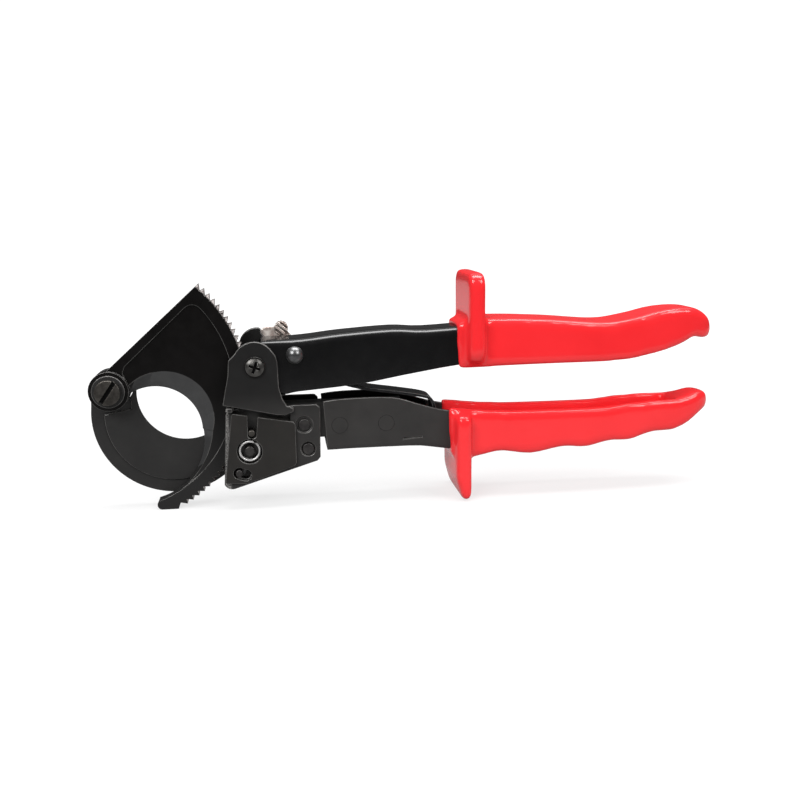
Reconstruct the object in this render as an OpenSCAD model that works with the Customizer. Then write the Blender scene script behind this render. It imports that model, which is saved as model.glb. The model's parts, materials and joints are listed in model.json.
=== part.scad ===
// Ratchet cable cutter, standing on its blade tail and its lower hand guard.
// X runs along the tool (jaw at -X, grips at +X), Y is the thickness (front at -Y), Z is up.

/* [Blades] */
// Radius of the circle through the ratchet tooth tips
tip_r = 53; // [52.6:0.1:53.2]
// Depth of a ratchet tooth
tooth_depth = 1.8; // [1.6:0.1:2.6]
// Thickness of each blade
blade_t = 5; // [4.4:0.1:5.1]
// Radius of the moving blade's cutting edge
moving_edge_r = 17.6; // [16:0.1:18.5]
// Radius of the fixed blade's cutting edge
fixed_edge_r = 18.4; // [17:0.1:19.5]
// Radius of the blade pivot screw
blade_pin_r = 3; // [2.5:0.1:3.5]

/* [Frame and handles] */
// Half of the steel handles' outside width
handle_half = 9; // [8.8:0.05:9.1]
// Sheet thickness of the steel handles
sheet_t = 1.6; // [1.4:0.1:1.7]
// Radius of the handle pivot screw
handle_pin_r = 2; // [1.6:0.1:2.1]
// Thickness of the pawl cover
cover_t = 1.5; // [1:0.1:2]

/* [Grips] */
// Half of the grips' outside width
grip_half = 10.9; // [10.6:0.1:12]
// Half of the hand guards' width
guard_half = 16; // [14:0.5:18]
// Height of the upper hand guard's top edge
guard_top = 90; // [84:1:95]

/* [Springs] */
// Thickness of the handle leaf spring
leaf_t = 1.2; // [0.8:0.1:1.3]
// Radius of the hold pawl spring wire
wire_r = 0.45; // [0.3:0.05:0.5]

/* [Hidden] */
$fn = 96;
eps = 0.01;

function polar(at, r, a) = at + [r * cos(a), r * sin(a)];
function arc(at, r, a0, a1, n) = [for (i = [0:n]) polar(at, r, a0 + (a1 - a0) * i / n)];

// Catmull-Rom curve through open points, n steps between neighbours
function cr(p0, p1, p2, p3, t) =
  0.5 * (2 * p1 + (p2 - p0) * t + (2 * p0 - 5 * p1 + 4 * p2 - p3) * t * t
         + (3 * p1 - p0 - 3 * p2 + p3) * t * t * t);
function curve(p, n) = [
  for (i = [0:len(p) - 2], k = [0:n - 1])
    cr(p[max(i - 1, 0)], p[i], p[i + 1], p[min(i + 2, len(p) - 1)], k / n),
  p[len(p) - 1]
];

// Pivot places, each [x, z]
blade_pivot = [-116.2, 47.6];
handle_pivot = [-61.2, 56];
drive_pivot = [-46, 59.8];
hold_pivot = [-64.4, 23.2];
anchor_pin_at = [-63.4, 30.2];
release_pin_at = [-68.7, 14.7];
frame_rivets_at = [[-43.2, 32.6], [-41.9, 22.9]];
handle_rivets_at = [[-29.4, 31.7], [-11.2, 31.9]];

// Layers across the thickness
gap = 0.05;
side_gap = 0.3;
carrier_in = blade_t + side_gap;
carrier_out = handle_half - sheet_t;
plate_out = handle_half + side_gap;
ear_out = plate_out + 2;
cover_out = plate_out + cover_t;
running = 0.06;

// Ratchet teeth on the moving blade
tooth_pitch = 3;
first_tooth = 48.5;
tooth_total = 37;
tooth_face = 0.7;
rim_r = tip_r - tooth_depth;
tail_angle = -asin(blade_pivot[1] / tip_r);

// Blade outlines
eye_r = 7.5;
edge_offset = 6;
moving_edge_at = blade_pivot + [16.1, -17.2];
bevel_at = blade_pivot + [20.6, -10.9];
bevel_r = 18.6;
tail_at = blade_pivot + [4.2, -12.4];
tail_r = 34.3;
tail_edge_at = blade_pivot + [10, -20.3];
tail_edge_r = 24.2;
tail_nose_at = blade_pivot + [17.2, -45.7];
tail_join_z = 30.6;
tail_band_r = 47;
boss_t = 1.1;
recess_r = 46.8;
recess_depth = 0.5;
fixed_at = [-93.3, 36.6];
fixed_r = 31.1;
fixed_pad_r = 26;
rim_drop = 0.6;
fixed_edge_at = [-88.2, 45.4];

// Pawls
pawl_front = -blade_t + 0.1;
pawl_back = -0.3;
nose_gap = 0.4;
drive_nose_angle = -8;
hold_nose_angle = -35;
drive_hub_r = 4.1;
hold_hub_r = 3.9;
drive_nose = polar(blade_pivot, tip_r + nose_gap, drive_nose_angle);
hold_nose = polar(blade_pivot, tip_r + nose_gap, hold_nose_angle);

// Pins, screws and rivets
screw_head_r = 4.8;
frame_rivet_r = 2.2;
handle_rivet_r = 3.2;
drive_pin_r = 2;
hold_pin_r = 1.9;
anchor_pin_r = 1.35;
release_pin_r = 1.35;
release_swing = 16;
leaf_rivet_at = [22, 21.4];

// Steel handles, seen from the front
upper_end = 101;
upper_top = curve([
  [-58.6, 65.2], [-43, 66], [-28, 67.6], [-8, 68.8], [5, 68.2], [31, 69.4], [54, 68.4],
  [76, 66.8], [88, 67.8], [upper_end, 70.4]
], 4);
upper_bottom = curve([
  [upper_end, 58.4], [84, 55.4], [66, 55], [34, 55], [17, 53.8], [-4, 50.6], [-22, 47.6],
  [-45, 45.6], [-50.4, 44.8], [-56, 46.6]
], 3);
lower_end = 108;
lower_top = curve([
  [-35.7, 41.3], [-26.8, 42.1], [-8.8, 41.9], [2.4, 38.7], [13.7, 35.8], [36, 33.4], [74, 33],
  [90, 34.4], [lower_end, 35]
], 4);
lower_bottom = curve([
  [lower_end, 26.4], [96, 25], [84, 22.8], [56, 20.4], [36, 19.8], [17, 19.7], [6.9, 21],
  [-2, 21.8], [-34.4, 21.7]
], 3);

// Leaf spring, from its free end to its riveted foot
leaf_half = 5.5;
leaf_line = concat(curve([
  [-44.6, 54.6], [-40, 52.2], [-33.6, 49.6], [-21, 45.6], [-5.3, 43], [4, 41.3], [7.2, 39.8],
  [8.5, 36.4], [8.7, 29.5], [10.4, 24.7], [14.5, 23]
], 4), [[17, 22.95], [26, 22.75]]);

// Grips, seen from the front
lining = 1;
upper_grip_top = curve([
  [16.4, 70.6], [31, 71.9], [54, 71], [76, 69.2], [88, 70.5], [100, 73.2], [109.5, 74.1],
  [116, 73.2], [122, 69.4], [124.4, 64.8]
], 5);
upper_grip_bottom = curve([
  [123.4, 61.6], [120.5, 60.6], [115, 61.8], [109.5, 59.2], [98, 55.8], [82, 53.4], [51, 53],
  [17.3, 52.4]
], 5);
lower_grip_top = curve([
  [13.2, 37.3], [36, 35.1], [74, 34.8], [89, 36.1], [104, 36.8], [112, 37.2], [118.6, 39.1],
  [122.7, 38.4], [124.4, 35.2]
], 5);
lower_grip_bottom = curve([
  [123.4, 31.8], [118.5, 29.4], [113.5, 26.1], [106.5, 23.6], [99, 23.6], [93.5, 22.2],
  [88, 20.7], [79.5, 20.7], [70, 18.6], [60, 19.1], [46.8, 16.9], [34.5, 18.5], [23.5, 16.6],
  [14, 18.2]
], 5);

// Extrudes an [x, z] outline from y0 to y1
module slab(y0, y1) {
  translate([0, y1, 0])
    rotate([90, 0, 0])
      linear_extrude(y1 - y0)
        children();
}

module rod(at, r, y0, y1) {
  translate([at[0], y1, at[1]])
    rotate([90, 0, 0])
      cylinder(r = r, h = y1 - y0);
}

module disc(at, r) {
  translate(at)
    circle(r);
}

module hexagon_nut(at, across, bore_r, y0, y1) {
  difference() {
    translate([at[0], y1, at[1]])
      rotate([90, 0, 0])
        cylinder(r = across / sqrt(3), h = y1 - y0, $fn = 6);
    rod(at, bore_r, y0 - 1, y1 + 1);
  }
}

// ---------------------------------------------------------------- moving blade

module toothed_sector() {
  teeth = [
    for (i = [0:tooth_total - 1])
      each [
        if (i > 0) polar(blade_pivot, rim_r, first_tooth - i * tooth_pitch + tooth_face),
        polar(blade_pivot, tip_r, first_tooth - i * tooth_pitch)
      ]
  ];
  last_valley = polar(blade_pivot, rim_r, first_tooth - tooth_total * tooth_pitch + tooth_face);
  edge_foot = first_tooth + acos(edge_offset / tip_r);
  polygon(concat(
    [blade_pivot, polar(blade_pivot, edge_offset, edge_foot)],
    teeth,
    [last_valley, polar(blade_pivot, tip_r, tail_angle), [tail_nose_at[0], 0]]
  ));
}

// Slanted cone that leaves the cutting edge on the meeting face
module bevel_cone(edge_at, edge_r, edge_y, wide_at, wide_r, wide_y) {
  hull() {
    rod(edge_at, edge_r, edge_y - eps, edge_y + eps);
    rod(wide_at, wide_r, wide_y - eps, wide_y + eps);
  }
}

module moving_recess() {
  straight_side = [[5.4, 6.8], [6.3, 9.2]];
  corner = arc([32.4, 27.9], 4, 133, 41, 8);
  rim = arc([0, 0], recess_r, 40.7, -62, 40);
  translate(blade_pivot)
    polygon(concat(straight_side, corner, rim, [[12, -20], [7.6, 0.5]]));
}

module moving_blade() {
  color([0.13, 0.13, 0.14])
  difference() {
    union() {
      difference() {
        slab(-blade_t, -gap) toothed_sector();
        slab(-blade_t - 1, -blade_t + recess_depth) moving_recess();
        bevel_cone(moving_edge_at, moving_edge_r, -gap + eps, bevel_at, bevel_r, -blade_t - eps);
        intersection() {
          bevel_cone(tail_edge_at, tail_edge_r, -gap + eps, tail_at, tail_r, -blade_t - eps);
          slab(-blade_t - 1, 1) intersection() {
            disc(blade_pivot, tail_band_r);
            translate([-150, -1])
              square([100, tail_join_z + 1]);
          }
        }
      }
      rod(blade_pivot, eye_r, -blade_t - boss_t, -gap);
      rod(tail_nose_at, tail_nose_at[1], -blade_t, -gap);
    }
    rod(blade_pivot, blade_pin_r + running, -blade_t - 2, 1);
  }
}

// ---------------------------------------------------------------- fixed blade

// Crescent head below the jaw, up to the notch beside the eye
module fixed_head() {
  slab(gap, blade_t) intersection() {
    disc(fixed_at, fixed_r);
    polygon([
      [-130, 47.6], [-116.2, 47.6], [-111.4, 42.4], [-109.4, 44], [-107.9, 46.4],
      [-106.4, 47.4], [-90, 47.4], [-60, 39.5], [-60, 0], [-130, 0]
    ]);
  }
}

module fixed_eye() {
  rod(blade_pivot, eye_r, gap, blade_t);
  slab(gap, blade_t)
    polygon([
      [-124.4, 36.6], polar(blade_pivot, eye_r, 176), polar(blade_pivot, eye_r, 250),
      [-112, 36.6]
    ]);
}

module fixed_shank() {
  slab(gap, blade_t)
    polygon([
      [-80, 38], [-72, 39.5], [-4, 39.5], [-4, 27], [-38.5, 27], [-38.5, 19.6], [-68, 9.4],
      [-74.5, 11.5], [-80, 20]
    ]);
}

// Raised land of the crescent; the rim outside it and the corner above it are lower
module fixed_pad() {
  intersection() {
    disc(fixed_at, fixed_pad_r);
    polygon([
      [-125, 0], [-125, 34.5], [-118.8, 37.4], [-115.3, 38.4], [-104, 40.2], [-95, 50],
      [-60, 50], [-60, 0]
    ]);
  }
}

module fixed_blade() {
  color([0.2, 0.2, 0.21])
  difference() {
    union() {
      fixed_head();
      fixed_eye();
      fixed_shank();
    }
    bevel_cone(fixed_edge_at, fixed_edge_r, gap - eps, fixed_edge_at - [1, 2.4], fixed_edge_r + 4,
               blade_t + eps);
    slab(-1, gap + rim_drop) difference() {
      polygon([[-130, 60], [-109, 60], [-109, 36], [-95, 25], [-80, 8], [-80, 0], [-130, 0]]);
      disc(blade_pivot, eye_r);
      fixed_pad();
    }
    rod(blade_pivot, blade_pin_r + running, -1, blade_t + 1);
    rod(hold_pivot, hold_pin_r, -1, blade_t + 1);
    rod(anchor_pin_at, anchor_pin_r, -1, blade_t + 1);
    frame_rivet_holes();
    handle_rivet_holes();
  }
}

// ---------------------------------------------------------------- blade pivot

module blade_pivot_screw() {
  head_y = -blade_t - 1.9;
  color([0.62, 0.6, 0.56])
  difference() {
    union() {
      rod(blade_pivot, screw_head_r, head_y - 2.4, head_y);
      rod(blade_pivot, blade_pin_r, head_y - eps, blade_t + 4.5);
    }
    translate([blade_pivot[0], head_y - 2.4, blade_pivot[1]])
      rotate([0, -55, 0])
        cube([3 * screw_head_r, 2.4, 1.4], center = true);
  }
}

module blade_pivot_washer() {
  color([0.1, 0.1, 0.1])
  difference() {
    rod(blade_pivot, 6.2, -blade_t - 1.9, -blade_t - 1.2);
    rod(blade_pivot, blade_pin_r + running, -blade_t - 3, 0);
  }
}

module blade_pivot_nut() {
  color([0.3, 0.3, 0.31])
    hexagon_nut(blade_pivot, 10, blade_pin_r, blade_t, blade_t + 4);
}

// ---------------------------------------------------------------- frame plates

module frame_rivet_holes() {
  for (at = frame_rivets_at)
    rod(at, frame_rivet_r, -ear_out - 1, ear_out + 1);
}

module handle_rivet_holes() {
  for (at = handle_rivets_at)
    rod(at, handle_rivet_r, -ear_out, ear_out);
}

// Arc-shaped slot that the release pin sweeps, clear by the margin all round
module release_slot(margin, y0, y1) {
  arm = release_pin_at - hold_pivot;
  reach = norm(arm);
  start = atan2(arm[1], arm[0]);
  for (i = [0:4])
    rod(polar(hold_pivot, reach, start + release_swing * i / 4), release_pin_r + margin, y0, y1);
}

module carrier_outline() {
  polygon([
    [-74, 14], [-71.6, 38.6], [-66, 39.5], [-4, 39.5], [-4, 27], [-37.5, 27], [-37.5, 19.8],
    [-69.8, 9.4], [-73.6, 10.8]
  ]);
}

module front_carrier() {
  color([0.16, 0.16, 0.17])
  difference() {
    slab(-carrier_out, -carrier_in) carrier_outline();
    rod(hold_pivot, hold_pin_r, -ear_out, 0);
    rod(anchor_pin_at, anchor_pin_r, -ear_out, 0);
    release_slot(0.4, -ear_out, 0);
    frame_rivet_holes();
    handle_rivet_holes();
  }
}

module rear_carrier() {
  color([0.16, 0.16, 0.17])
  difference() {
    slab(blade_t, carrier_out) carrier_outline();
    rod(hold_pivot, hold_pin_r, 0, ear_out);
    frame_rivet_holes();
    handle_rivet_holes();
  }
}

module tang_spacer() {
  color([0.16, 0.16, 0.17])
  difference() {
    slab(-carrier_in, gap)
      polygon([[-52, 39.5], [-4, 39.5], [-4, 27], [-38.5, 27], [-38.5, 20.5], [-52, 16.2]]);
    frame_rivet_holes();
    handle_rivet_holes();
  }
}

module base_outline(top) {
  polygon(concat(
    [[-73, 37.2], [-72, top], [-38.2, top], [-36.9, top - 1.2], [-37.2, 19.4], [-38.4, 18]],
    arc([-71.5, 11.4], 3.4, 285, 205, 6)
  ));
}

module ear_outline() {
  polygon(concat(
    arc([-61.3, 57.6], 8, 35, 152, 16),
    [[-71, 58.6], [-71.4, 53], [-72.6, 47.5], [-73.8, 41.6], [-60, 38.7], [-53.3, 37.2],
     [-50, 37.1], [-47.2, 38.2], [-47.2, 39.4], [-49.6, 40.6], [-51.2, 43.4], [-52.4, 47.9],
     [-52.6, 57.4], [-53.2, 60]]
  ));
}

// Window in the front plate that leaves room for the pawl spring
module window_outline() {
  polygon([
    [-70.2, 12.6], [-71.6, 16], [-70.2, 42], [-48.4, 42], [-48.4, 19.6], [-66, 13]
  ]);
}

module front_plate() {
  color([0.15, 0.15, 0.16])
  difference() {
    union() {
      difference() {
        slab(-plate_out, -carrier_out) base_outline(40.4);
        slab(-plate_out - 1, -carrier_out + 1) window_outline();
      }
      slab(-ear_out, -plate_out) ear_outline();
      slab(-ear_out, -carrier_out)
        polygon([[-50.6, 37.1], [-50, 37.1], [-47.2, 38.2], [-47.2, 39.4], [-48.4, 40.4],
                 [-50.6, 40.4]]);
      slab(-ear_out, -carrier_out)
        polygon([[-73, 39], [-70.4, 38.6], [-70.4, 40.4], [-72.6, 40.4]]);
    }
    rod(handle_pivot, handle_pin_r, -ear_out - 1, 0);
    release_slot(0.4, -ear_out, 0);
    frame_rivet_holes();
    rod(frame_rivets_at[0], 3.3, -plate_out - 1, -plate_out + 0.5);
    rod(frame_rivets_at[1], 2.8, -plate_out - 1, -plate_out + 0.5);
  }
}

module rear_ear_outline() {
  polygon(concat(
    [[-70.6, 40.4], [-71.6, 52], [-69.6, 59]],
    arc([-60.2, 61.3], 7.2, 163, 84, 14),
    [[-58.6, 68], [-58.5, 66.4], [-55.4, 62], [-52.9, 57.4], [-52.6, 47], [-49.6, 40.6],
     [-47.2, 39.2], [-47.2, 37.4]]
  ));
}

module rear_plate() {
  color([0.15, 0.15, 0.16])
  difference() {
    union() {
      slab(carrier_out, plate_out) base_outline(41.2);
      slab(plate_out, ear_out) rear_ear_outline();
    }
    rod(handle_pivot, handle_pin_r, 0, ear_out + 1);
    rod(hold_pivot, hold_pin_r, 0, ear_out + 1);
    frame_rivet_holes();
  }
}

module pawl_cover() {
  color([0.19, 0.18, 0.18])
  difference() {
    slab(-cover_out, -plate_out) difference() {
      polygon([
        [-70.8, 37.6], [-70.2, 38.2], [-47.4, 34.2], [-46.6, 33.2], [-46.6, 17.8], [-47.4, 16.8],
        [-66, 10.4], [-74, 10.9], [-74, 12]
      ]);
      polygon([[-64.7, 40], [-64.8, 29], [-63.4, 27.9], [-61.7, 28.8], [-60.4, 40]]);
      disc(hold_pivot, 4.8);
    }
    release_slot(0.85, -cover_out - 1, 0);
  }
}

module frame_rivets() {
  color([0.45, 0.43, 0.4])
  for (at = frame_rivets_at) {
    rod(at, frame_rivet_r, -plate_out - 0.3, plate_out + 0.6);
  }
}

// ---------------------------------------------------------------- hold pawl

module hold_pawl() {
  heel = polar(blade_pivot, tip_r + 2.6, hold_nose_angle + 6);
  color([0.35, 0.35, 0.36])
  difference() {
    slab(pawl_front, pawl_back) union() {
      disc(hold_pivot, hold_hub_r);
      disc(release_pin_at, 2.6);
      polygon([
        polar(hold_pivot, hold_hub_r, 170), heel, hold_nose, hold_nose + [1.6, -2.4],
        polar(release_pin_at, 2.6, 190), polar(release_pin_at, 2.6, 0),
        polar(hold_pivot, hold_hub_r, -20)
      ]);
    }
    rod(hold_pivot, hold_pin_r + running, -blade_t, 0);
    rod(release_pin_at, release_pin_r, -blade_t, 0);
  }
}

module hold_pawl_pin() {
  color([0.3, 0.29, 0.3])
    rod(hold_pivot, hold_pin_r, -cover_out + 0.3, plate_out + 0.4);
}

module release_pin() {
  color([0.7, 0.69, 0.67])
    rod(release_pin_at, release_pin_r, -cover_out - 0.6, pawl_back);
}

module spring_anchor_pin() {
  color([0.8, 0.79, 0.77])
    rod(anchor_pin_at, anchor_pin_r, -cover_out + 0.2, blade_t);
}

// Round wire from one [x, z] place to another, in the plane y
module straight_wire(from, to, y) {
  along = to - from;
  translate([from[0], y, from[1]])
    rotate([0, 90 - atan2(along[1], along[0]), 0])
      cylinder(r = wire_r, h = norm(along), $fn = 24);
}

module hold_pawl_spring() {
  coil_r = 3.8;
  inner_y = -carrier_out - 0.1 - wire_r;
  pin_side = polar(release_pin_at, release_pin_r + wire_r + 0.05, 45);
  color([0.85, 0.84, 0.82]) {
    for (turn = [0:2])
      translate([hold_pivot[0], inner_y - turn * 2.02 * wire_r, hold_pivot[1]])
        rotate([90, 0, 0])
          rotate_extrude()
            translate([coil_r, 0])
              circle(wire_r, $fn = 24);
    straight_wire(polar(hold_pivot, coil_r, 60), anchor_pin_at + [1.95, 0.8], inner_y);
    straight_wire(polar(hold_pivot, coil_r, 260), pin_side, inner_y);
  }
}

// ---------------------------------------------------------------- handle pivot

module handle_pivot_screw() {
  head_r = 4;
  head_t = 1.9;
  color([0.6, 0.59, 0.57])
  difference() {
    union() {
      rod(handle_pivot, head_r, -ear_out - 0.8, -ear_out);
      intersection() {
        rod(handle_pivot, head_r, -ear_out - head_t, -ear_out - 0.8 + eps);
        translate([handle_pivot[0], -ear_out - head_t + 6.2, handle_pivot[1]])
          sphere(6.2);
      }
      rod(handle_pivot, handle_pin_r, -ear_out - eps, ear_out + 3.6);
    }
    for (turn = [0, 90])
      translate([handle_pivot[0], -ear_out - head_t, handle_pivot[1]])
        rotate([0, turn + 20, 0])
          cube([4.4, 2.2, 0.9], center = true);
  }
}

module handle_pivot_spacer() {
  color([0.55, 0.55, 0.55])
  difference() {
    rod(handle_pivot, 3.4, 0.4, carrier_out);
    rod(handle_pivot, handle_pin_r + running, 0, handle_half);
  }
}

module handle_pivot_nut() {
  color([0.5, 0.5, 0.5])
    hexagon_nut(handle_pivot, 7, handle_pin_r, ear_out, ear_out + 3);
}

// ---------------------------------------------------------------- upper handle

module upper_wall_outline() {
  disc(handle_pivot, 7.6);
  polygon(concat(upper_top, upper_bottom, [polar(handle_pivot, 7.6, 230)]));
}

module upper_handle() {
  color([0.1, 0.1, 0.11])
  difference() {
    union() {
      slab(-handle_half, -carrier_out) upper_wall_outline();
      slab(carrier_out, handle_half) upper_wall_outline();
      slab(-carrier_out - eps, carrier_out + eps)
        polygon(concat(upper_top, [
          for (i = [len(upper_top) - 1:-1:0]) upper_top[i] - [0, sheet_t]
        ]));
    }
    rod(handle_pivot, handle_pin_r + running, -ear_out, ear_out);
    rod(drive_pivot, drive_pin_r, -ear_out, ear_out);
  }
}

// ---------------------------------------------------------------- drive pawl

module drive_pawl() {
  color([0.35, 0.35, 0.36])
  difference() {
    slab(pawl_front, pawl_back) union() {
      disc(drive_pivot, drive_hub_r);
      polygon([
        polar(drive_pivot, drive_hub_r, 193), drive_nose + [1.4, 4.2], drive_nose,
        drive_nose + [2.2, -0.8], polar(drive_pivot, drive_hub_r, 263)
      ]);
    }
    rod(drive_pivot, drive_pin_r + running, -blade_t, 0);
  }
}

module drive_pawl_pin() {
  dome_r = 3.4;
  color([0.75, 0.74, 0.73])
  union() {
    rod(drive_pivot, drive_pin_r, -handle_half - eps, handle_half + 5.2);
    intersection() {
      translate([drive_pivot[0], -handle_half + 1.1, drive_pivot[1]])
        sphere(3.57);
      rod(drive_pivot, dome_r, -handle_half - 4, -handle_half);
    }
  }
}

module drive_pawl_bush() {
  color([0.6, 0.55, 0.4])
  difference() {
    rod(drive_pivot, drive_hub_r, 0.1, carrier_out);
    rod(drive_pivot, drive_pin_r, -1, handle_half);
  }
}

module drive_pawl_spring() {
  coil_r = 3;
  inner_y = -blade_t - 0.3 - wire_r;
  color([0.7, 0.7, 0.7]) {
    for (turn = [0:1])
      translate([drive_pivot[0], inner_y - turn * 2.02 * wire_r, drive_pivot[1]])
        rotate([90, 0, 0])
          rotate_extrude()
            translate([coil_r, 0])
              circle(wire_r, $fn = 24);
    straight_wire(polar(drive_pivot, coil_r, 50), polar(drive_pivot, 5.6, 35), inner_y);
    straight_wire(polar(drive_pivot, coil_r, 210), polar(drive_pivot, 12, 222), inner_y);
  }
}

module release_lever() {
  lever_y = ear_out + side_gap;
  lever_t = 1.6;
  pad_at = [-50.5, 67.9];
  pad_r = 2.7;
  ribs = 14;
  color([0.72, 0.68, 0.62])
  difference() {
    union() {
      rod(drive_pivot, 3.6, handle_half + 0.2, lever_y + lever_t);
      slab(lever_y, lever_y + lever_t)
        polygon([
          polar(drive_pivot, 3.6, 0), [-46.8, 65], [-48, 66.4], [-53.4, 68.4], [-57.6, 68.1],
          [-58.8, 66.8], [-58.8, 64.4], [-53.4, 63.2], polar(drive_pivot, 3.6, 180)
        ]);
      difference() {
        rod(pad_at, pad_r, lever_y - 1.8, lever_y + lever_t + 1.6);
        for (i = [0:ribs - 1])
          rod(polar(pad_at, pad_r + 0.15, 360 * i / ribs), 0.35, 0, 20);
        for (i = [-1:1])
          translate([pad_at[0], lever_y - 1.8, pad_at[1]])
            rotate([0, 40, 0])
              translate([0, 0, 1.6 * i])
                cube([8, 0.8, 0.6], center = true);
      }
    }
    rod(drive_pivot, drive_pin_r + running, 0, 20);
  }
}

// ---------------------------------------------------------------- lower handle

module lower_wall_outline() {
  polygon(concat(lower_top, lower_bottom));
}

module lower_handle() {
  color([0.14, 0.14, 0.15])
  difference() {
    union() {
      slab(-handle_half, -carrier_out) lower_wall_outline();
      slab(carrier_out, handle_half) lower_wall_outline();
      slab(-carrier_out - eps, carrier_out + eps)
        polygon(concat(lower_bottom, [
          for (i = [len(lower_bottom) - 1:-1:0]) lower_bottom[i] + [0, sheet_t]
        ]));
    }
    handle_rivet_holes();
    leaf_rivet_hole();
    slab(-handle_half - 1, -handle_half + 0.3)
      polygon([[-4.7, 25.6], [3.1, 26], [3.1, 25.6], [-4.7, 24.9]]);
  }
}

module handle_rivets() {
  color([0.2, 0.2, 0.2])
  for (at = handle_rivets_at)
    rod(at, handle_rivet_r, -handle_half - 0.12, handle_half + 0.12);
}

// ---------------------------------------------------------------- leaf spring

module leaf_rivet_hole() {
  translate([leaf_rivet_at[0], 0, leaf_rivet_at[1] - 3])
    cylinder(r = 1.8, h = 8);
}

// Outline of a strip of the leaf's thickness about a line of points
module leaf_outline() {
  last = len(leaf_line) - 1;
  normals = [
    for (i = [0:last])
      let (d = leaf_line[min(i + 1, last)] - leaf_line[max(i - 1, 0)]) [-d[1], d[0]] / norm(d)
  ];
  polygon(concat(
    [for (i = [0:last]) leaf_line[i] + normals[i] * leaf_t / 2],
    [for (i = [last:-1:0]) leaf_line[i] - normals[i] * leaf_t / 2]
  ));
}

module leaf_spring() {
  color([0.3, 0.3, 0.31])
  difference() {
    slab(-leaf_half, leaf_half) leaf_outline();
    leaf_rivet_hole();
  }
}

module leaf_spring_rivet() {
  color([0.5, 0.5, 0.5]) {
    translate([leaf_rivet_at[0], 0, leaf_rivet_at[1] - 1.2])
      cylinder(r = 1.8, h = 3.4);
    translate([leaf_rivet_at[0], 0, leaf_rivet_at[1] + 2.1])
      cylinder(r = 3, h = 1);
  }
}

// ---------------------------------------------------------------- grips

// The grips are narrower and rounded towards their free ends
module grip_plan(x0) {
  side = [[x0, grip_half], [70, grip_half], [100, 10], [114, 8.2], [121, 5.6], [124.4, 2]];
  outline = curve(side, 5);
  translate([0, 0, -10])
    linear_extrude(120)
      polygon(concat(outline, [
        for (i = [len(outline) - 1:-1:0]) [outline[i][0], -outline[i][1]]
      ]));
}

// Rectangular hand guard with rounded corners, from x0 to x1
module guard(x0, x1, z0, z1, corner) {
  y = guard_half - corner;
  translate([x0, 0, 0])
    rotate([90, 0, 90])
      linear_extrude(x1 - x0)
        polygon(concat(
          arc([-y, z0 + corner], corner, 180, 270, 6),
          arc([y, z0 + corner], corner, 270, 360, 6),
          arc([y, z1 - corner], corner, 0, 90, 6),
          arc([-y, z1 - corner], corner, 90, 180, 6)
        ));
}

module upper_channel_space() {
  slab(-handle_half, handle_half)
    polygon(concat(upper_top, [[upper_end, 40], [10, 40], [10, 60]]));
}

module upper_grip() {
  color([0.86, 0.06, 0.08])
  difference() {
    union() {
      intersection() {
        slab(-guard_half, guard_half)
          polygon(concat(upper_grip_top, upper_grip_bottom));
        grip_plan(16);
      }
      guard(20.7, 27.2, 54.6, guard_top, 5);
    }
    difference() {
      upper_channel_space();
      for (side = [-1, 1])
        upper_lining(side);
    }
    slab(-handle_half, -carrier_out) upper_wall_outline();
    slab(carrier_out, handle_half) upper_wall_outline();
  }
}

// Plastic that coats the inside of the steel walls and closes round their lower edges
module upper_lining(side) {
  y_in = carrier_out - lining;
  mid = (y_in + handle_half) / 2 * side;
  width = handle_half - y_in;
  slab(mid - width / 2, mid + width / 2)
    polygon([
      for (p = upper_top) if (p[0] > 10) p - [0, sheet_t],
      [upper_end, 40], [10, 40], [10, 60]
    ]);
}

module lower_channel_space() {
  slab(-handle_half, handle_half)
    polygon(concat(lower_bottom, [[10, 30], [10, 50], [lower_end, 50]]));
}

module lower_lining(side) {
  y_in = carrier_out - lining;
  mid = (y_in + handle_half) / 2 * side;
  width = handle_half - y_in;
  slab(mid - width / 2, mid + width / 2)
    polygon([
      for (p = lower_bottom) if (p[0] > 10) p + [0, sheet_t],
      [10, 30], [10, 50], [lower_end, 50]
    ]);
}

module lower_grip() {
  color([0.86, 0.06, 0.08])
  difference() {
    union() {
      intersection() {
        slab(-guard_half, guard_half)
          polygon(concat(lower_grip_top, lower_grip_bottom));
        grip_plan(13);
      }
      lower_guard();
    }
    difference() {
      lower_channel_space();
      for (side = [-1, 1])
        lower_lining(side);
    }
    slab(-handle_half, -carrier_out) lower_wall_outline();
    slab(carrier_out, handle_half) lower_wall_outline();
  }
}

// The lower guard's foot is narrowed from the jaw side and ends in a flat
module lower_guard() {
  difference() {
    guard(15.8, 22, 0, 35, 3);
    slab(-guard_half - 1, guard_half + 1)
      polygon([[15, 10], [15.8, 9.3], [18.6, -1], [15, -1]]);
  }
}

fixed_blade();
moving_blade();
blade_pivot_screw();
blade_pivot_washer();
blade_pivot_nut();
front_carrier();
rear_carrier();
tang_spacer();
front_plate();
rear_plate();
pawl_cover();
frame_rivets();
hold_pawl();
hold_pawl_pin();
hold_pawl_spring();
release_pin();
spring_anchor_pin();
handle_pivot_screw();
handle_pivot_spacer();
handle_pivot_nut();
upper_handle();
upper_grip();
drive_pawl();
drive_pawl_pin();
drive_pawl_bush();
drive_pawl_spring();
release_lever();
lower_handle();
handle_rivets();
lower_grip();
leaf_spring();
leaf_spring_rivet();
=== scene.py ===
import json
import math

import bmesh
import bpy
from mathutils import Matrix, Vector


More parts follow.
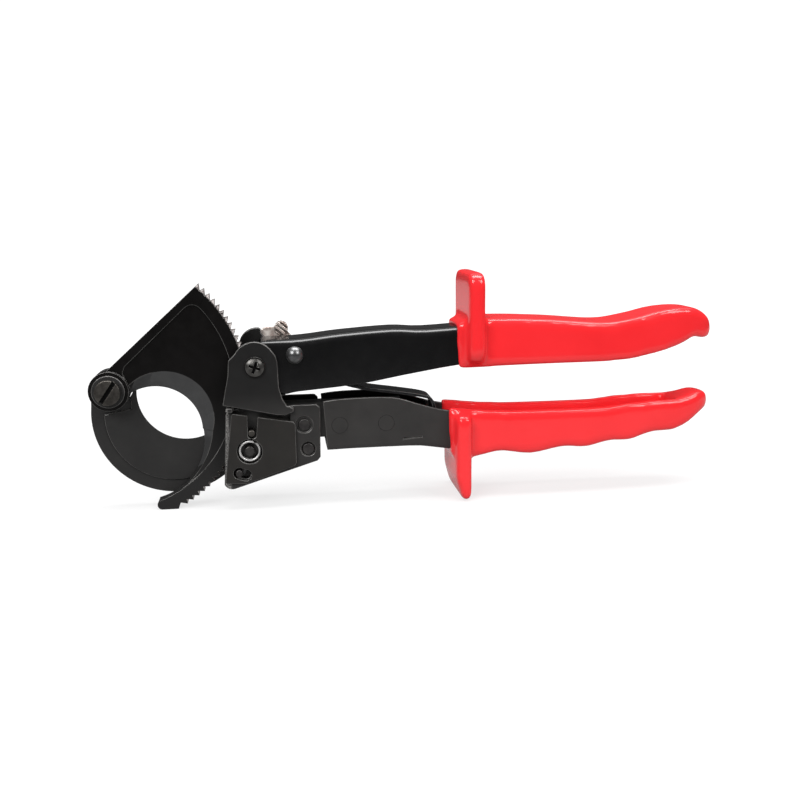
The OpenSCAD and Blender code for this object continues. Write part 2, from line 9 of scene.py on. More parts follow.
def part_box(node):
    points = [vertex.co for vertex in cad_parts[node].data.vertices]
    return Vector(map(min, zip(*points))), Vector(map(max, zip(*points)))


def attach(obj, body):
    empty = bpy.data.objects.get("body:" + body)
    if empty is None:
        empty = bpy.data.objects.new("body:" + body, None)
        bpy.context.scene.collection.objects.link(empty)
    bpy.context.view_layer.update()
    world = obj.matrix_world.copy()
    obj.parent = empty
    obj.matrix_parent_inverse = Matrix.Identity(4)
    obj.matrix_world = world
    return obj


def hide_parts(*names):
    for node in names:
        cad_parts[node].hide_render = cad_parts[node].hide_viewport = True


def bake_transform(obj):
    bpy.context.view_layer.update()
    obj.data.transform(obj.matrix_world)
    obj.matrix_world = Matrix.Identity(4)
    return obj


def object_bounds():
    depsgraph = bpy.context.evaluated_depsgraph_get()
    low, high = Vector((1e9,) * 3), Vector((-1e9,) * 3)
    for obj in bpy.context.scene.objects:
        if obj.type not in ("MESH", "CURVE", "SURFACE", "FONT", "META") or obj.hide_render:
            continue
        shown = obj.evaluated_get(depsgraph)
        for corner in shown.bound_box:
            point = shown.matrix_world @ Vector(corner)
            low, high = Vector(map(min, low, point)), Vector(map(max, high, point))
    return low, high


# The looks of the ratchet cable cutter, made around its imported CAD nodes. X runs along the tool
# with the jaw at -X, -Y is the front, Z is up, and the floor is at the CAD's lowest point.

MM = 0.001
CREASE_ANGLE = math.radians(38)
WELD_GAP = 0.002 * MM
WIRE_R = 0.45 * MM

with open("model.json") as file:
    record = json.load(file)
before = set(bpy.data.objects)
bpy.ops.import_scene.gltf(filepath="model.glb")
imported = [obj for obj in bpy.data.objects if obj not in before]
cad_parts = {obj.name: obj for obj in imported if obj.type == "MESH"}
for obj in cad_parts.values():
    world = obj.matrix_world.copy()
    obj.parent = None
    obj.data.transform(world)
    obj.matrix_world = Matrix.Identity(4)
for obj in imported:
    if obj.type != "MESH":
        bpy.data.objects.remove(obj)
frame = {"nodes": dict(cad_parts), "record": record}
cad_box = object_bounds()
pivots = {joint["name"]: Vector(joint["pos_m"]) for joint in frame["record"]["behaviour"]["joints"]}
blade_pivot = pivots["blade_swing"]
drive_pivot = pivots["drive_pawl_swing"]
hold_pivot = pivots["hold_pawl_release"]


# ---------------------------------------------------------------- node materials

class Shader:
    """A material with one Principled shader and short ways to add the nodes that drive it."""

    def __init__(self, name):
        self.material = bpy.data.materials.new(name)
        self.material.use_nodes = True
        self.tree = self.material.node_tree
        self.surface = self.tree.nodes["Principled BSDF"]
        self.place = self.tree.nodes.new("ShaderNodeTexCoord").outputs["Object"]

    def link(self, output, target):
        self.tree.links.new(output, target)

    def set(self, **values):
        """Sets the Principled sockets that are named, with spaces written as underscores."""
        for socket, value in values.items():
            self.surface.inputs[socket.replace("_", " ")].default_value = value

    def mapped(self, scale, shift=(0, 0, 0)):
        """The place in the object, scaled and then shifted."""
        node = self.tree.nodes.new("ShaderNodeMapping")
        node.inputs["Scale"].default_value = scale
        node.inputs["Location"].default_value = shift
        self.link(self.place, node.inputs["Vector"])
        return node.outputs["Vector"]

    def distance_from(self, axis):
        """Distance from the line along Y through the axis point."""
        node = self.tree.nodes.new("ShaderNodeVectorMath")
        node.operation = "LENGTH"
        self.link(self.mapped((1, 0, 1), (-axis.x, 0, -axis.z)), node.inputs[0])
        return node.outputs["Value"]

    def along(self, axis):
        """The X, Y or Z of the place in the object."""
        node = self.tree.nodes.new("ShaderNodeSeparateXYZ")
        self.link(self.place, node.inputs["Vector"])
        return node.outputs[axis]

    def noise(self, scale, detail=3.0, roughness=0.55, place=None):
        node = self.tree.nodes.new("ShaderNodeTexNoise")
        node.inputs["Scale"].default_value = scale
        node.inputs["Detail"].default_value = detail
        node.inputs["Roughness"].default_value = roughness
        self.link(place or self.place, node.inputs["Vector"])
        return node.outputs["Fac"]

    def span(self, value, low, high, to_low=0.0, to_high=1.0):
        """The value stretched from low..high to to_low..to_high and clamped there."""
        node = self.tree.nodes.new("ShaderNodeMapRange")
        node.inputs["From Min"].default_value = low
        node.inputs["From Max"].default_value = high
        node.inputs["To Min"].default_value = to_low
        node.inputs["To Max"].default_value = to_high
        self.link(value, node.inputs["Value"])
        return node.outputs["Result"]

    def product(self, first, second):
        node = self.tree.nodes.new("ShaderNodeMath")
        node.operation = "MULTIPLY"
        self.link(first, node.inputs[0])
        self.link(second, node.inputs[1])
        return node.outputs["Value"]

    def colour(self, amount, low, high):
        """Sets the base colour, from low to high by the amount. Either may be a socket."""
        node = self.tree.nodes.new("ShaderNodeMix")
        node.data_type = "RGBA"
        for socket, value in ((node.inputs["A"], low), (node.inputs["B"], high)):
            if isinstance(value, tuple):
                socket.default_value = (*value, 1)
            else:
                self.link(value, socket)
        self.link(amount, node.inputs["Factor"])
        self.link(node.outputs["Result"], self.surface.inputs["Base Color"])

    def clouds(self, scale, detail, dark, light, low=0.3, high=0.7):
        """Sets a base colour that drifts between dark and light."""
        self.colour(self.span(self.noise(scale, detail), low, high), dark, light)

    def overlay(self, amount, tone):
        """Lays a tone over the base colour set so far, by the amount."""
        beneath = self.surface.inputs["Base Color"].links[0].from_socket
        self.colour(amount, beneath, tone)

    def corner_shade(self, shade_tone, reach):
        """Paints shade into the surface's own corners and grooves: darkening from ambient
        occlusion, as far out as the reach.
        """
        node = self.tree.nodes.new("ShaderNodeAmbientOcclusion")
        node.only_local = True
        node.samples = 8
        node.inputs["Distance"].default_value = reach
        open_surface, deep_corner = 0.93, 0.6
        # painted shade: the base colour darkens where ambient occlusion finds a nearby corner or
        # groove
        self.overlay(self.span(node.outputs["AO"], open_surface, deep_corner), shade_tone)

    def rough(self, value, low, high):
        """Sets the roughness, from low to high with the middle of a noise's range."""
        self.link(self.span(value, 0.3, 0.7, low, high), self.surface.inputs["Roughness"])

    def bump(self, height, distance, strength=1.0):
        """Adds a bump on top of any that is already there."""
        node = self.tree.nodes.new("ShaderNodeBump")
        node.inputs["Distance"].default_value = distance
        node.inputs["Strength"].default_value = strength
        self.link(height, node.inputs["Height"])
        if self.surface.inputs["Normal"].is_linked:
            earlier = self.surface.inputs["Normal"].links[0].from_socket
            self.link(earlier, node.inputs["Normal"])
        self.link(node.outputs["Normal"], self.surface.inputs["Normal"])


def black_steel(name, dark, light, rough, shine=0.5, grain=0.002 * MM):
    """Blackened or painted steel: cloudy tone, painted shade in the corners, uneven gloss, a fine
    grain.
    """
    shader = Shader(name)
    shader.clouds(90, 4, dark, light)
    # painted shade in corners and grooves, from ambient occlusion
    shader.corner_shade((0.0012, 0.0011, 0.0011), 1.5 * MM)
    shader.rough(shader.noise(260, 4), *rough)
    shader.bump(shader.noise(1900, 3), grain)
    shader.set(Specular_IOR_Level=shine)
    return shader


def plated_steel(name, dark, light, rough, metallic=0.85):
    """Bare or plated metal: cloudy tone, uneven gloss and a very fine grain."""
    shader = Shader(name)
    shader.clouds(380, 4, dark, light, 0.35, 0.65)
    shader.rough(shader.noise(900, 3), *rough)
    shader.bump(shader.noise(2600, 3), 0.0012 * MM)
    shader.set(Metallic=metallic)
    return shader


def oxide_blade():
    """Black oxide, greyed down the tail by a painted reflection of the floor, and worn through on
    the upper teeth that the pawls meet.
    """
    shader = black_steel(
        "blade_oxide", (0.0024, 0.0021, 0.0020), (0.0042, 0.0036, 0.0035),
        rough=(0.34, 0.46), shine=0.12,
    )
    # painted reflection of the white floor: the blade greys from the tail's top to its foot
    tail_top, tail_foot = 44 * MM, 10 * MM
    tail_floor_reflection = shader.span(shader.along("Z"), tail_top, tail_foot)
    shader.overlay(tail_floor_reflection, (0.0175, 0.0172, 0.0170))
    wear_starts, wear_full = 51.3 * MM, 52 * MM
    tips = shader.span(shader.distance_from(blade_pivot), wear_starts, wear_full)
    worn_from_height, worn_to_height = 52 * MM, 64 * MM
    upper = shader.span(shader.along("Z"), worn_from_height, worn_to_height)
    patches = shader.span(shader.noise(700, 4, 0.6), 0.38, 0.55)
    worn = shader.product(shader.product(tips, upper), patches)
    shader.overlay(worn, (0.70, 0.64, 0.62))
    return shader.material


def ground_bevel():
    """The blades' bevels, ground and then blackened: lighter, with fine lines along the arc."""
    shader = Shader("ground_bevel")
    shader.clouds(120, 3, (0.031, 0.031, 0.0315), (0.043, 0.043, 0.0435))
    lines = shader.noise(1.0, 4, 0.7, shader.mapped((900, 5200, 900)))
    shader.rough(lines, 0.36, 0.5)
    shader.bump(lines, 0.004 * MM)
    shader.set(Specular_IOR_Level=0.4)
    return shader.material


def tooth_steel():
    """Tooth faces where the black has rubbed off in patches."""
    shader = Shader("tooth_steel")
    patches = shader.span(shader.noise(900, 4, 0.6), 0.4, 0.56)
    shader.colour(patches, (0.045, 0.036, 0.034), (0.55, 0.50, 0.48))
    shader.rough(shader.noise(1500, 3), 0.3, 0.5)
    shader.bump(shader.noise(2500, 3), 0.006 * MM)
    shader.set(Metallic=0.6)
    return shader.material


def worn_edge():
    """Edges where black finish has worn to dull steel, more in some places than in others."""
    shader = Shader("worn_edge")
    streaks = shader.span(shader.noise(160, 4, 0.6), 0.3, 0.75)
    shader.colour(streaks, (0.028, 0.027, 0.026), (0.13, 0.125, 0.12))
    shader.rough(shader.noise(1400, 3), 0.28, 0.45)
    shader.bump(shader.noise(2400, 3), 0.004 * MM)
    shader.set(Metallic=0.2)
    return shader.material


def plate_black():
    """Painted plate, blacker on its ear, rubbed to bright specks along its jaw-side border."""
    shader = black_steel(
        "plate_black", (0.0165, 0.0157, 0.0151), (0.0255, 0.0244, 0.0234),
        rough=(0.38, 0.5), shine=0.3, grain=0.003 * MM,
    )
    ear_foot, ear_middle = 36 * MM, 46 * MM
    ear = shader.span(shader.along("Z"), ear_foot, ear_middle)
    shader.overlay(ear, (0.0066, 0.0063, 0.0062))
    border_inner, border_outer = -71.6 * MM, -72.2 * MM
    border = shader.span(shader.along("X"), border_inner, border_outer)
    rubbed_top, rubbed_full = 40.8 * MM, 39.6 * MM
    below_ear = shader.span(shader.along("Z"), rubbed_top, rubbed_full)
    specks = shader.span(shader.noise(2600, 5, 0.75), 0.42, 0.6)
    shader.overlay(shader.product(shader.product(border, below_ear), specks), (0.30, 0.29, 0.28))
    return shader.material


def gloss_paint():
    """Thick gloss black paint with the slight waviness of a dipped coat."""
    shader = Shader("gloss_paint")
    shader.clouds(70, 3, (0.0034, 0.0034, 0.0036), (0.0052, 0.0051, 0.0053))
    shader.rough(shader.noise(240, 3), 0.14, 0.19)
    shader.bump(shader.noise(120, 2), 0.02 * MM, 0.5)
    shader.set(Specular_IOR_Level=0.5)
    return shader.material


def lever_plate():
    """Warm bright plating, with painted shade in the knurl of the thumb pad and its other hollows.
    """
    shader = plated_steel(
        "lever_plate", (0.42, 0.32, 0.28), (0.86, 0.79, 0.73), rough=(0.2, 0.3), metallic=0.4,
    )
    # painted shade in the knurl and other hollows, from ambient occlusion
    shader.corner_shade((0.04, 0.032, 0.028), 0.7 * MM)
    return shader.material


def grip_vinyl():
    """Gloss dipped vinyl: saturated red that lets a little light in, with a soft ripple."""
    shader = Shader("grip_vinyl")
    shader.clouds(35, 3, (0.84, 0.021, 0.026), (0.90, 0.026, 0.032))
    shader.rough(shader.noise(300, 3), 0.11, 0.17)
    shader.bump(shader.noise(110, 2), 0.05 * MM, 0.5)
    shader.bump(shader.noise(1500, 3), 0.002 * MM)
    shader.set(Subsurface_Weight=0.06, Subsurface_Scale=1.2 * MM, Specular_IOR_Level=0.45)
    shader.set(Subsurface_Radius=(1.0, 0.25, 0.2))
    return shader.material


def floor_paper():
    """Paper lit from below: brightly for the camera, so it reads as white, dimly for the object."""
    shader = Shader("floor_paper")
    shader.colour(shader.noise(9, 3), (0.19, 0.19, 0.19), (0.21, 0.21, 0.21))
    seen = shader.tree.nodes.new("ShaderNodeLightPath").outputs["Is Camera Ray"]
    glow = shader.span(seen, 0, 1, 0.25, 0.72)
    brighter_from, brightest_at = 0.1, 0.6
    brighter_far = shader.span(shader.along("Y"), brighter_from, brightest_at, 1.0, 1.4)
    shader.link(shader.product(glow, brighter_far), shader.surface.inputs["Emission Strength"])
    shader.set(Roughness=0.9, Specular_IOR_Level=0.1, Emission_Color=(1, 1, 1, 1))
    return shader.material


# Blackened and painted steel
blade_oxide = oxide_blade()
fixed_oxide = black_steel(
    "fixed_oxide", (0.0122, 0.0117, 0.0115), (0.0180, 0.0173, 0.0168),
    rough=(0.45, 0.58), shine=0.3,
).material
bevel_finish = ground_bevel()
tooth_finish = tooth_steel()
edge_finish = worn_edge()
plate_finish = plate_black()
cover_finish = black_steel(
    "cover_black", (0.0106, 0.0096, 0.0085), (0.0162, 0.0146, 0.0130),
    rough=(0.4, 0.52), shine=0.3, grain=0.003 * MM,
).material
paint_finish = gloss_paint()
channel_finish = black_steel(
    "satin_paint", (0.0175, 0.0164, 0.0157), (0.0262, 0.0246, 0.0236),
    rough=(0.38, 0.5), shine=0.38,
).material
# painted shade and grime: near-black for screw slots, rivet rims and spring legs, where shade falls
slot_shade_and_grime_finish = black_steel(
    "slot_shade_and_grime", (0.003, 0.0028, 0.0026), (0.008, 0.0074, 0.007),
    rough=(0.5, 0.65), shine=0.1,
).material

# Bare and plated metal
screw_finish = plated_steel(
    "screw_steel", (0.044, 0.040, 0.036), (0.088, 0.081, 0.073), rough=(0.3, 0.44),
).material
cross_finish = plated_steel(
    "cross_screw_steel", (0.045, 0.043, 0.041), (0.10, 0.097, 0.092), rough=(0.26, 0.4),
).material
dark_finish = plated_steel(
    "dark_steel", (0.028, 0.026, 0.026), (0.055, 0.052, 0.05), rough=(0.3, 0.45), metallic=0.7,
).material
dome_finish = plated_steel(
    "dome_steel", (0.09, 0.09, 0.092), (0.17, 0.17, 0.17), rough=(0.26, 0.34),
).material
wire_finish = plated_steel(
    "wire_steel", (0.5, 0.49, 0.48), (0.7, 0.69, 0.68), rough=(0.24, 0.34), metallic=0.5,
).material
leaf_finish = plated_steel(
    "leaf_steel", (0.012, 0.012, 0.013), (0.03, 0.03, 0.032), rough=(0.28, 0.4), metallic=0.7,
).material
pawl_finish = plated_steel(
    "pawl_steel_finish", (0.1, 0.1, 0.1), (0.17, 0.17, 0.17), rough=(0.32, 0.46),
).material
bronze_finish = plated_steel(
    "bronze", (0.3, 0.19, 0.08), (0.42, 0.28, 0.12), rough=(0.35, 0.5),
).material
lever_finish = lever_plate()

red_finish = grip_vinyl()


# ---------------------------------------------------------------- mesh helpers

def body_of(node):
    bodies = frame["record"]["behaviour"]["bodies"]
    return next(body for body, nodes in bodies.items() if node in nodes)


def middle_of(node):
    return sum(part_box(node), Vector()) / 2


def add_piece(name, mesh, node, materials, bend=None):
    """Adds a piece that stands for a CAD node: it rides on the node's body or, given a bend,
    stays fixed where it stands, on no body; the bend's bodies and places are not used."""
    piece = bpy.data.objects.new(name, mesh)
    bpy.context.scene.collection.objects.link(piece)
    for material in materials:
        piece.data.materials.append(material)
    if bend:
        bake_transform(piece)
    else:
        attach(piece, body_of(node))
    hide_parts(node)
    return piece


def mesh_from(shape, name):
    """Turns a finished bmesh into a mesh and frees it."""
    mesh = bpy.data.meshes.new(name)
    shape.to_mesh(mesh)
    shape.free()
    return mesh


def welded_copy(node):
    """The CAD node's mesh as a bmesh, with flat areas merged into single faces."""
    shape = bmesh.new()
    shape.from_mesh(frame["nodes"][node].data)
    bmesh.ops.remove_doubles(shape, verts=shape.verts, dist=WELD_GAP)
    bmesh.ops.dissolve_limit(
        shape, angle_limit=math.radians(0.5), verts=shape.verts, edges=shape.edges,
        use_dissolve_boundaries=False,
    )
    bmesh.ops.recalc_face_normals(shape, faces=shape.faces)
    for face in shape.faces:
        face.smooth = True
        face.material_index = 0
    return shape


def in_small_hole(edge):
    """True for the rim of a hole: a short edge beside a wall that curves inwards."""
    longest_rim_edge = 1.3 * MM
    flattest, tightest = 0.001, math.radians(30)
    if edge.calc_length() > longest_rim_edge:
        return False
    walls = [face for face in edge.link_faces if abs(face.normal.y) < 0.3]
    return any(
        not side.is_convex and flattest < side.calc_face_angle(0) < tightest
        for wall in walls for side in wall.edges
    )


def mark_sharp_edges(shape, round_holes):
    """Shades across smooth edges only, and weights the sharp ones that get a rounded edge."""
    weight = shape.edges.layers.float.new("bevel_weight_edge")
    for edge in shape.edges:
        edge.smooth = edge.calc_face_angle(0) < CREASE_ANGLE
        if not edge.smooth and (round_holes or not in_small_hole(edge)):
            edge[weight] = 1.0


def rounded(piece, width, edge_index):
    """Rounds the piece's weighted edges. They take the material of edge_index, or of the faces
    beside them if it is -1."""
    bevel = piece.modifiers.new("edges", "BEVEL")
    bevel.width = width
    bevel.segments = 2
    bevel.limit_method = "WEIGHT"
    bevel.use_clamp_overlap = False
    bevel.material = edge_index
    bevel.miter_outer = "MITER_ARC"
    flat = piece.modifiers.new("flat_faces", "WEIGHTED_NORMAL")
    flat.keep_sharp = True


def from_node(node, materials, width=0.15 * MM, edge=None, mark=None, round_holes=True, bend=None):
    """A piece that stands for a CAD node, with its edges rounded.

    edge is a material for the rounded edges alone. mark is called with the bmesh, to give faces
    a material index or to round bends. Without round_holes the rims of small holes stay sharp.
    bend is for add_piece."""
    shape = welded_copy(node)
    if mark:
        mark(shape)
    mark_sharp_edges(shape, round_holes)
    edge_index = len(materials) if edge else -1
    finishes = materials + [edge] if edge else materials
    name = node + "_shape"
    piece = add_piece(name, mesh_from(shape, name), node, finishes, bend)
    rounded(piece, width, edge_index)


def round_bends(shape, radius, upward):
    """Turns the long outer corners between a channel's web and its walls into round bends.

    upward is 1 for a channel whose web is on top and -1 for one whose web is below."""
    half_width = max(v.co.y for v in shape.verts)
    tolerance = 0.02 * MM
    bends = []
    for edge in shape.edges:
        normals = [face.normal for face in edge.link_faces]
        on_side = all(abs(abs(v.co.y) - half_width) < tolerance for v in edge.verts)
        beside_wall = any(abs(normal.y) > 0.9 for normal in normals)
        beside_web = any(normal.z * upward > 0.7 for normal in normals)
        if on_side and len(normals) == 2 and beside_wall and beside_web and not in_small_hole(edge):
            bends.append(edge)
    bmesh.ops.bevel(
        shape, geom=bends, offset=radius, offset_type="OFFSET", segments=7, profile=0.5,
        affect="EDGES", clamp_overlap=False,
    )


def round_web_above(shape):
    round_bends(shape, 3.4 * MM, 1)


def round_web_below(shape):
    round_bends(shape, 2.4 * MM, -1)


def mark_drive_slot(shape):
    """Gives the floor and walls of the slot in a screw's head the second material, whose near-black
    paints the shade in the slot.
    """
    front = min(v.co.y for v in shape.verts)
    xs = [v.co.x for v in shape.verts]
    zs = [v.co.z for v in shape.verts]
    head_r = (max(xs) - min(xs)) / 2
    middle_x, middle_z = (min(xs) + max(xs)) / 2, (min(zs) + max(zs)) / 2
    for face in shape.faces:
        at = face.calc_center_median()
        from_axis = math.hypot(at.x - middle_x, at.z - middle_z)
        sunk = front + 0.1 * MM < at.y < front + 1.4 * MM
        wall_or_floor = abs(face.normal.y) < 0.1 or face.normal.y < -0.999
        if sunk and from_axis < 0.9 * head_r and wall_or_floor:
            face.material_index = 1


# ---------------------------------------------------------------- blades

def is_bevel(face):
    """True for a face that slopes between the blade's flat side and its cutting edge."""
    return 0.2 < abs(face.normal.y) < 0.97


def mark_moving_blade(shape):
    """The bevels take the second material and the ratchet teeth the third."""
    boss_r = 8 * MM
    tooth_root_r = 50.2 * MM
    for face in shape.faces:
        at = face.calc_center_median()
        from_pivot = math.hypot(at.x - blade_pivot.x, at.z - blade_pivot.z)
        if is_bevel(face) and from_pivot > boss_r:
            face.material_index = 1
        elif from_pivot > tooth_root_r and abs(face.normal.y) < 0.3:
            face.material_index = 2


def mark_fixed_blade(shape):
    """The bevels take the second material."""
    for face in shape.faces:
        if is_bevel(face):
            face.material_index = 1


from_node(
    "moving_blade", [blade_oxide, bevel_finish, tooth_finish], 0.12 * MM, edge_finish,
    mark=mark_moving_blade,
)
from_node(
    "fixed_blade", [fixed_oxide, bevel_finish], 0.15 * MM, edge_finish, mark=mark_fixed_blade,
)
from_node("blade_pivot_screw", [screw_finish, slot_shade_and_grime_finish], 0.25 * MM, mark=mark_drive_slot)
from_node("blade_pivot_washer", [fixed_oxide], 0.25 * MM, edge_finish)
from_node("blade_pivot_nut", [dark_finish], 0.3 * MM)

# ---------------------------------------------------------------- frame

from_node("front_carrier", [plate_finish])
from_node("rear_carrier", [plate_finish])
from_node("tang_spacer", [plate_finish], 0.1 * MM)
from_node("front_plate", [plate_finish], 0.3 * MM, edge_finish)
from_node("rear_plate", [plate_finish], 0.3 * MM, edge_finish)
from_node("pawl_cover", [cover_finish], 0.22 * MM, edge_finish)
from_node("frame_rivets", [dark_finish], 0.2 * MM)
from_node("hold_pawl_pin", [dark_finish], 0.25 * MM)
from_node("spring_anchor_pin", [screw_finish], 0.3 * MM)
from_node("release_pin", [dark_finish], 0.25 * MM)
from_node("hold_pawl", [pawl_finish])

# ---------------------------------------------------------------- handles

from_node("upper_handle", [paint_finish], 0.3 * MM, mark=round_web_above, round_holes=False)
from_node(
    "lower_handle", [channel_finish], 0.25 * MM, edge_finish,
    mark=round_web_below, round_holes=False,
)
# the rivets' rounded rims take the near-black of painted shade and grime
from_node("handle_rivets", [channel_finish], 0.11 * MM, slot_shade_and_grime_finish)
from_node("handle_pivot_screw", [cross_finish, slot_shade_and_grime_finish], 0.14 * MM, mark=mark_drive_slot)
from_node("handle_pivot_spacer", [screw_finish])
from_node("handle_pivot_nut", [screw_finish], 0.25 * MM)
from_node("drive_pawl", [pawl_finish])
from_node("drive_pawl_pin", [dome_finish])
from_node("drive_pawl_bush", [bronze_finish])
from_node("release_lever", [lever_finish])
from_node("leaf_spring_rivet", [dark_finish], 0.25 * MM)


# ---------------------------------------------------------------- grips

def dipped_grip(name, grip, handle, coat_start):
    """The dipped coat: the grip and the steel inside it as one skin, softened like thick vinyl.

    Only the steel beyond coat_start along X is taken in, so that the skin has no hollow."""
    steel = bmesh.new()
    steel.from_mesh(frame["nodes"][handle].data)
    bmesh.ops.remove_doubles(steel, verts=steel.verts, dist=WELD_GAP)
    cut = bmesh.ops.bisect_plane(
        steel, geom=steel.verts[:] + steel.edges[:] + steel.faces[:],
        plane_co=(coat_start, 0, 0), plane_no=(1, 0, 0), clear_inner=True,
    )
    rim = [part for part in cut["geom_cut"] if isinstance(part, bmesh.types.BMEdge)]
    bmesh.ops.triangle_fill(steel, edges=rim, use_beauty=True)
    shape = bmesh.new()
    shape.from_mesh(frame["nodes"][grip].data)
    shape.from_mesh(mesh_from(steel, name + "_steel"))
    piece = add_piece(name, mesh_from(shape, name), grip, [red_finish])
    skin = piece.modifiers.new("skin", "REMESH")
    skin.mode = "VOXEL"
    skin.voxel_size = 0.65 * MM
    skin.use_smooth_shade = True
    soften = piece.modifiers.new("soften", "SMOOTH")
    soften.factor = 0.5
    soften.iterations = 64


dipped_grip("upper_grip_skin", "upper_grip", "upper_handle", 18 * MM)
dipped_grip("lower_grip_skin", "lower_grip", "lower_handle", 15 * MM)


# ---------------------------------------------------------------- springs

def tube(path, radius, sides=12):
    """A closed round tube along a path of points, as a bmesh."""
    shape = bmesh.new()
    rings = []
    across = Vector((0, 1, 0))
    turns = [2 * math.pi * k / sides for k in range(sides)]
    for i, place in enumerate(path):
        before = path[max(i - 1, 0)]
        after = path[min(i + 1, len(path) - 1)]
        along = (after - before).normalized()
        across = (across - along * across.dot(along)).normalized()
        beside = along.cross(across)
        rings.append([
            shape.verts.new(place + (across * math.cos(turn) + beside * math.sin(turn)) * radius)
            for turn in turns
        ])
    for ring, following in zip(rings, rings[1:]):
        for k in range(sides):
            beyond = (k + 1) % sides
            side = shape.faces.new((ring[k], ring[beyond], following[beyond], following[k]))
            side.smooth = True
    shape.faces.new(rings[0])
    shape.faces.new(rings[-1])
    bmesh.ops.recalc_face_normals(shape, faces=shape.faces)
    return shape


def wire_spring(name, path, node, axis, bend=None):
    """A wire spring, bright in its coil about the axis and dark in its legs, which take the
    near-black of painted shade and grime.
    """
    coil_reach = 4.5 * MM
    shape = tube(path, WIRE_R)
    for face in shape.faces:
        at = face.calc_center_median()
        face.material_index = int(math.hypot(at.x - axis.x, at.z - axis.z) > coil_reach)
    add_piece(name, mesh_from(shape, name), node, [wire_finish, slot_shade_and_grime_finish], bend)


def around(centre, radius, degrees, y):
    """The point at an angle about the Y axis through centre, counted from +X towards +Z."""
    angle = math.radians(degrees)
    return Vector((centre.x + radius * math.cos(angle), y, centre.z + radius * math.sin(angle)))


def coil(centre, radius, start, sweep, y_start, y_end, steps):
    """Points on a helix about the Y axis through centre, from the start angle over the sweep."""
    parts = [i / steps for i in range(steps + 1)]
    return [
        around(centre, radius, start + sweep * part, y_start + (y_end - y_start) * part)
        for part in parts
    ]


def hold_spring():
    """Two and a half turns about the hold pawl's pin, from the anchor pin to the release pin."""
    low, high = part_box("hold_pawl_spring")
    back, front = high.y - WIRE_R, low.y + WIRE_R
    turns = coil(hold_pivot, 3.8 * MM, 60, 2 * 360 + 200, front, back, 120)
    pin_r = 1.4 * MM
    anchor = middle_of("spring_anchor_pin")
    pin = middle_of("release_pin")
    on_anchor = around(anchor, pin_r + WIRE_R, 20, front)
    on_pin = around(pin, pin_r + WIRE_R, 45, back)
    bend = ("frame", "holding_pawl", hold_pivot, pin)
    wire_spring(
        "hold_spring_coil", [on_anchor] + turns + [on_pin], "hold_pawl_spring", hold_pivot, bend,
    )


def drive_spring():
    """A turn and a half about the drive pawl's bush, with its long leg lying along the pawl."""
    low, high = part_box("drive_pawl_spring")
    back, front = high.y - WIRE_R, low.y + WIRE_R
    turns = coil(drive_pivot, 3 * MM, 50, 360 + 160, back, front, 70)
    short_leg = around(drive_pivot, 5.6 * MM, 35, back)
    long_leg = around(drive_pivot, 12 * MM, 222, front)
    path = [short_leg] + turns + [long_leg]
    wire_spring("drive_spring_coil", path, "drive_pawl_spring", drive_pivot)


hold_spring()
drive_spring()

leaf_foot = Vector((-5, 0, 43)) * MM
leaf_tip = Vector((-40, 0, 52.2)) * MM
from_node(
    "leaf_spring", [leaf_finish], 0.2 * MM, edge_finish,
    bend=("frame", "handle", leaf_foot, leaf_tip),
)


# ---------------------------------------------------------------- floor, light and camera

def paper_floor():
    """A round sheet of pale paper, lit from below like a light table, under the object."""
    sheet_r, sheet_middle = 0.75, 0.52
    shape = bmesh.new()
    bmesh.ops.create_circle(shape, cap_ends=True, segments=96, radius=sheet_r)
    bmesh.ops.translate(shape, verts=shape.verts, vec=(0, sheet_middle, cad_box[0][2]))
    floor = bpy.data.objects.new("floor_sheet", mesh_from(shape, "floor_sheet"))
    bpy.context.scene.collection.objects.link(floor)
    floor.data.materials.append(floor_paper())


def softbox(name, place, aim, size, watts):
    """A rectangular light at a place, turned to its aim."""
    light = bpy.data.lights.new(name, "AREA")
    light.shape = "RECTANGLE"
    light.size, light.size_y = size
    light.energy = watts
    lamp = bpy.data.objects.new(name, light)
    bpy.context.scene.collection.objects.link(lamp)
    lamp.location = place
    lamp.rotation_euler = (Vector(aim) - Vector(place)).to_track_quat("-Z", "Y").to_euler()


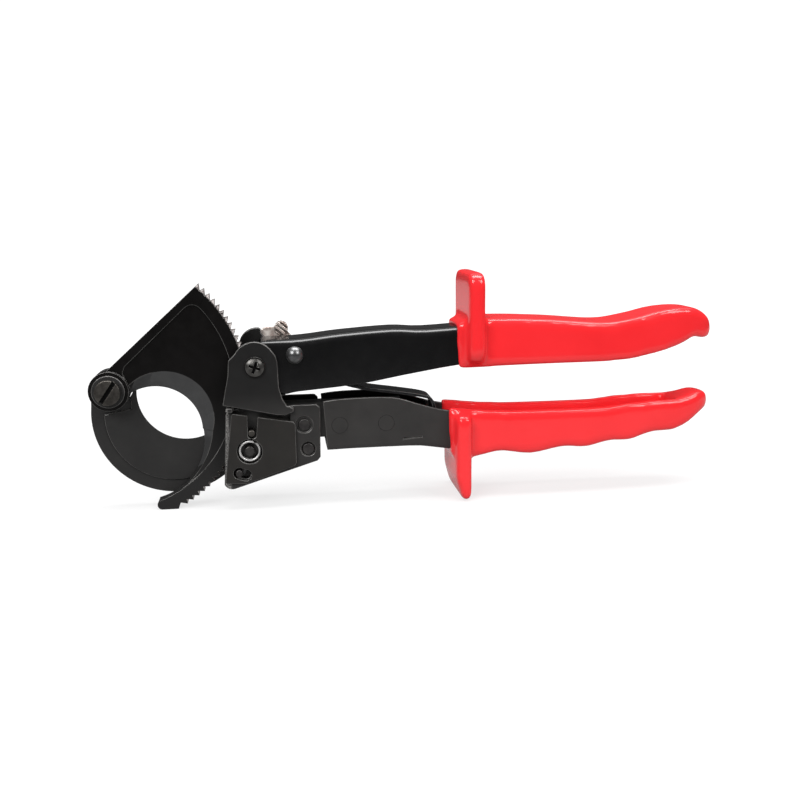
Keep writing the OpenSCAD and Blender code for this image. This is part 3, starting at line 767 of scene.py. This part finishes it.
def white_surroundings():
    """White behind the object for the camera, and a dim room for everything else."""
    world = bpy.data.worlds.new("studio")
    bpy.context.scene.world = world
    world.use_nodes = True
    tree = world.node_tree
    dim = tree.nodes["Background"]
    dim.inputs["Color"].default_value = (1, 1, 1, 1)
    dim.inputs["Strength"].default_value = 0.08
    white = tree.nodes.new("ShaderNodeBackground")
    white.inputs["Color"].default_value = (1, 1, 1, 1)
    white.inputs["Strength"].default_value = 1.1
    seen = tree.nodes.new("ShaderNodeLightPath")
    either = tree.nodes.new("ShaderNodeMixShader")
    tree.links.new(seen.outputs["Is Camera Ray"], either.inputs["Fac"])
    tree.links.new(dim.outputs["Background"], either.inputs[1])
    tree.links.new(white.outputs["Background"], either.inputs[2])
    tree.links.new(either.outputs["Shader"], tree.nodes["World Output"].inputs["Surface"])


def photo_camera():
    """The camera stands left of the middle, a little above, and leans by under a degree."""
    yaw, pitch, roll = (math.radians(degrees) for degrees in (7.6, 11.3, 0.7))
    target = Vector((-4.5, 0, 39)) * MM
    distance = 380 * MM
    forward = Vector((
        math.sin(yaw) * math.cos(pitch), math.cos(yaw) * math.cos(pitch), -math.sin(pitch),
    ))
    level = Vector((math.cos(yaw), -math.sin(yaw), 0))
    upright = level.cross(forward)
    right = level * math.cos(roll) - upright * math.sin(roll)
    up = upright * math.cos(roll) + level * math.sin(roll)
    camera = bpy.data.cameras.new("photo_camera")
    camera.lens = 42.75
    camera.sensor_width = 36
    camera.clip_start = 0.01
    holder = bpy.data.objects.new("photo_camera", camera)
    bpy.context.scene.collection.objects.link(holder)
    turn = Matrix((right, up, -forward)).transposed()
    holder.matrix_world = Matrix.Translation(target - forward * distance) @ turn.to_4x4()
    bpy.context.scene.camera = holder


bpy.context.scene.view_settings.view_transform = "Standard"
paper_floor()
white_surroundings()
softbox("overhead", (0.0, 0.35, 1.6), (0, 0.35, 0), (3.0, 2.4), 17)
softbox("strip", (0.1, -0.03, 0.8), (0.1, -0.03, 0), (0.8, 0.3), 8)
softbox("front_left", (-0.8, -1.0, 0.9), (0, 0, 0.04), (0.8, 0.6), 18.5)
softbox("front_right", (0.9, -1.0, 0.9), (0, 0, 0.05), (0.6, 0.6), 11)
photo_camera()
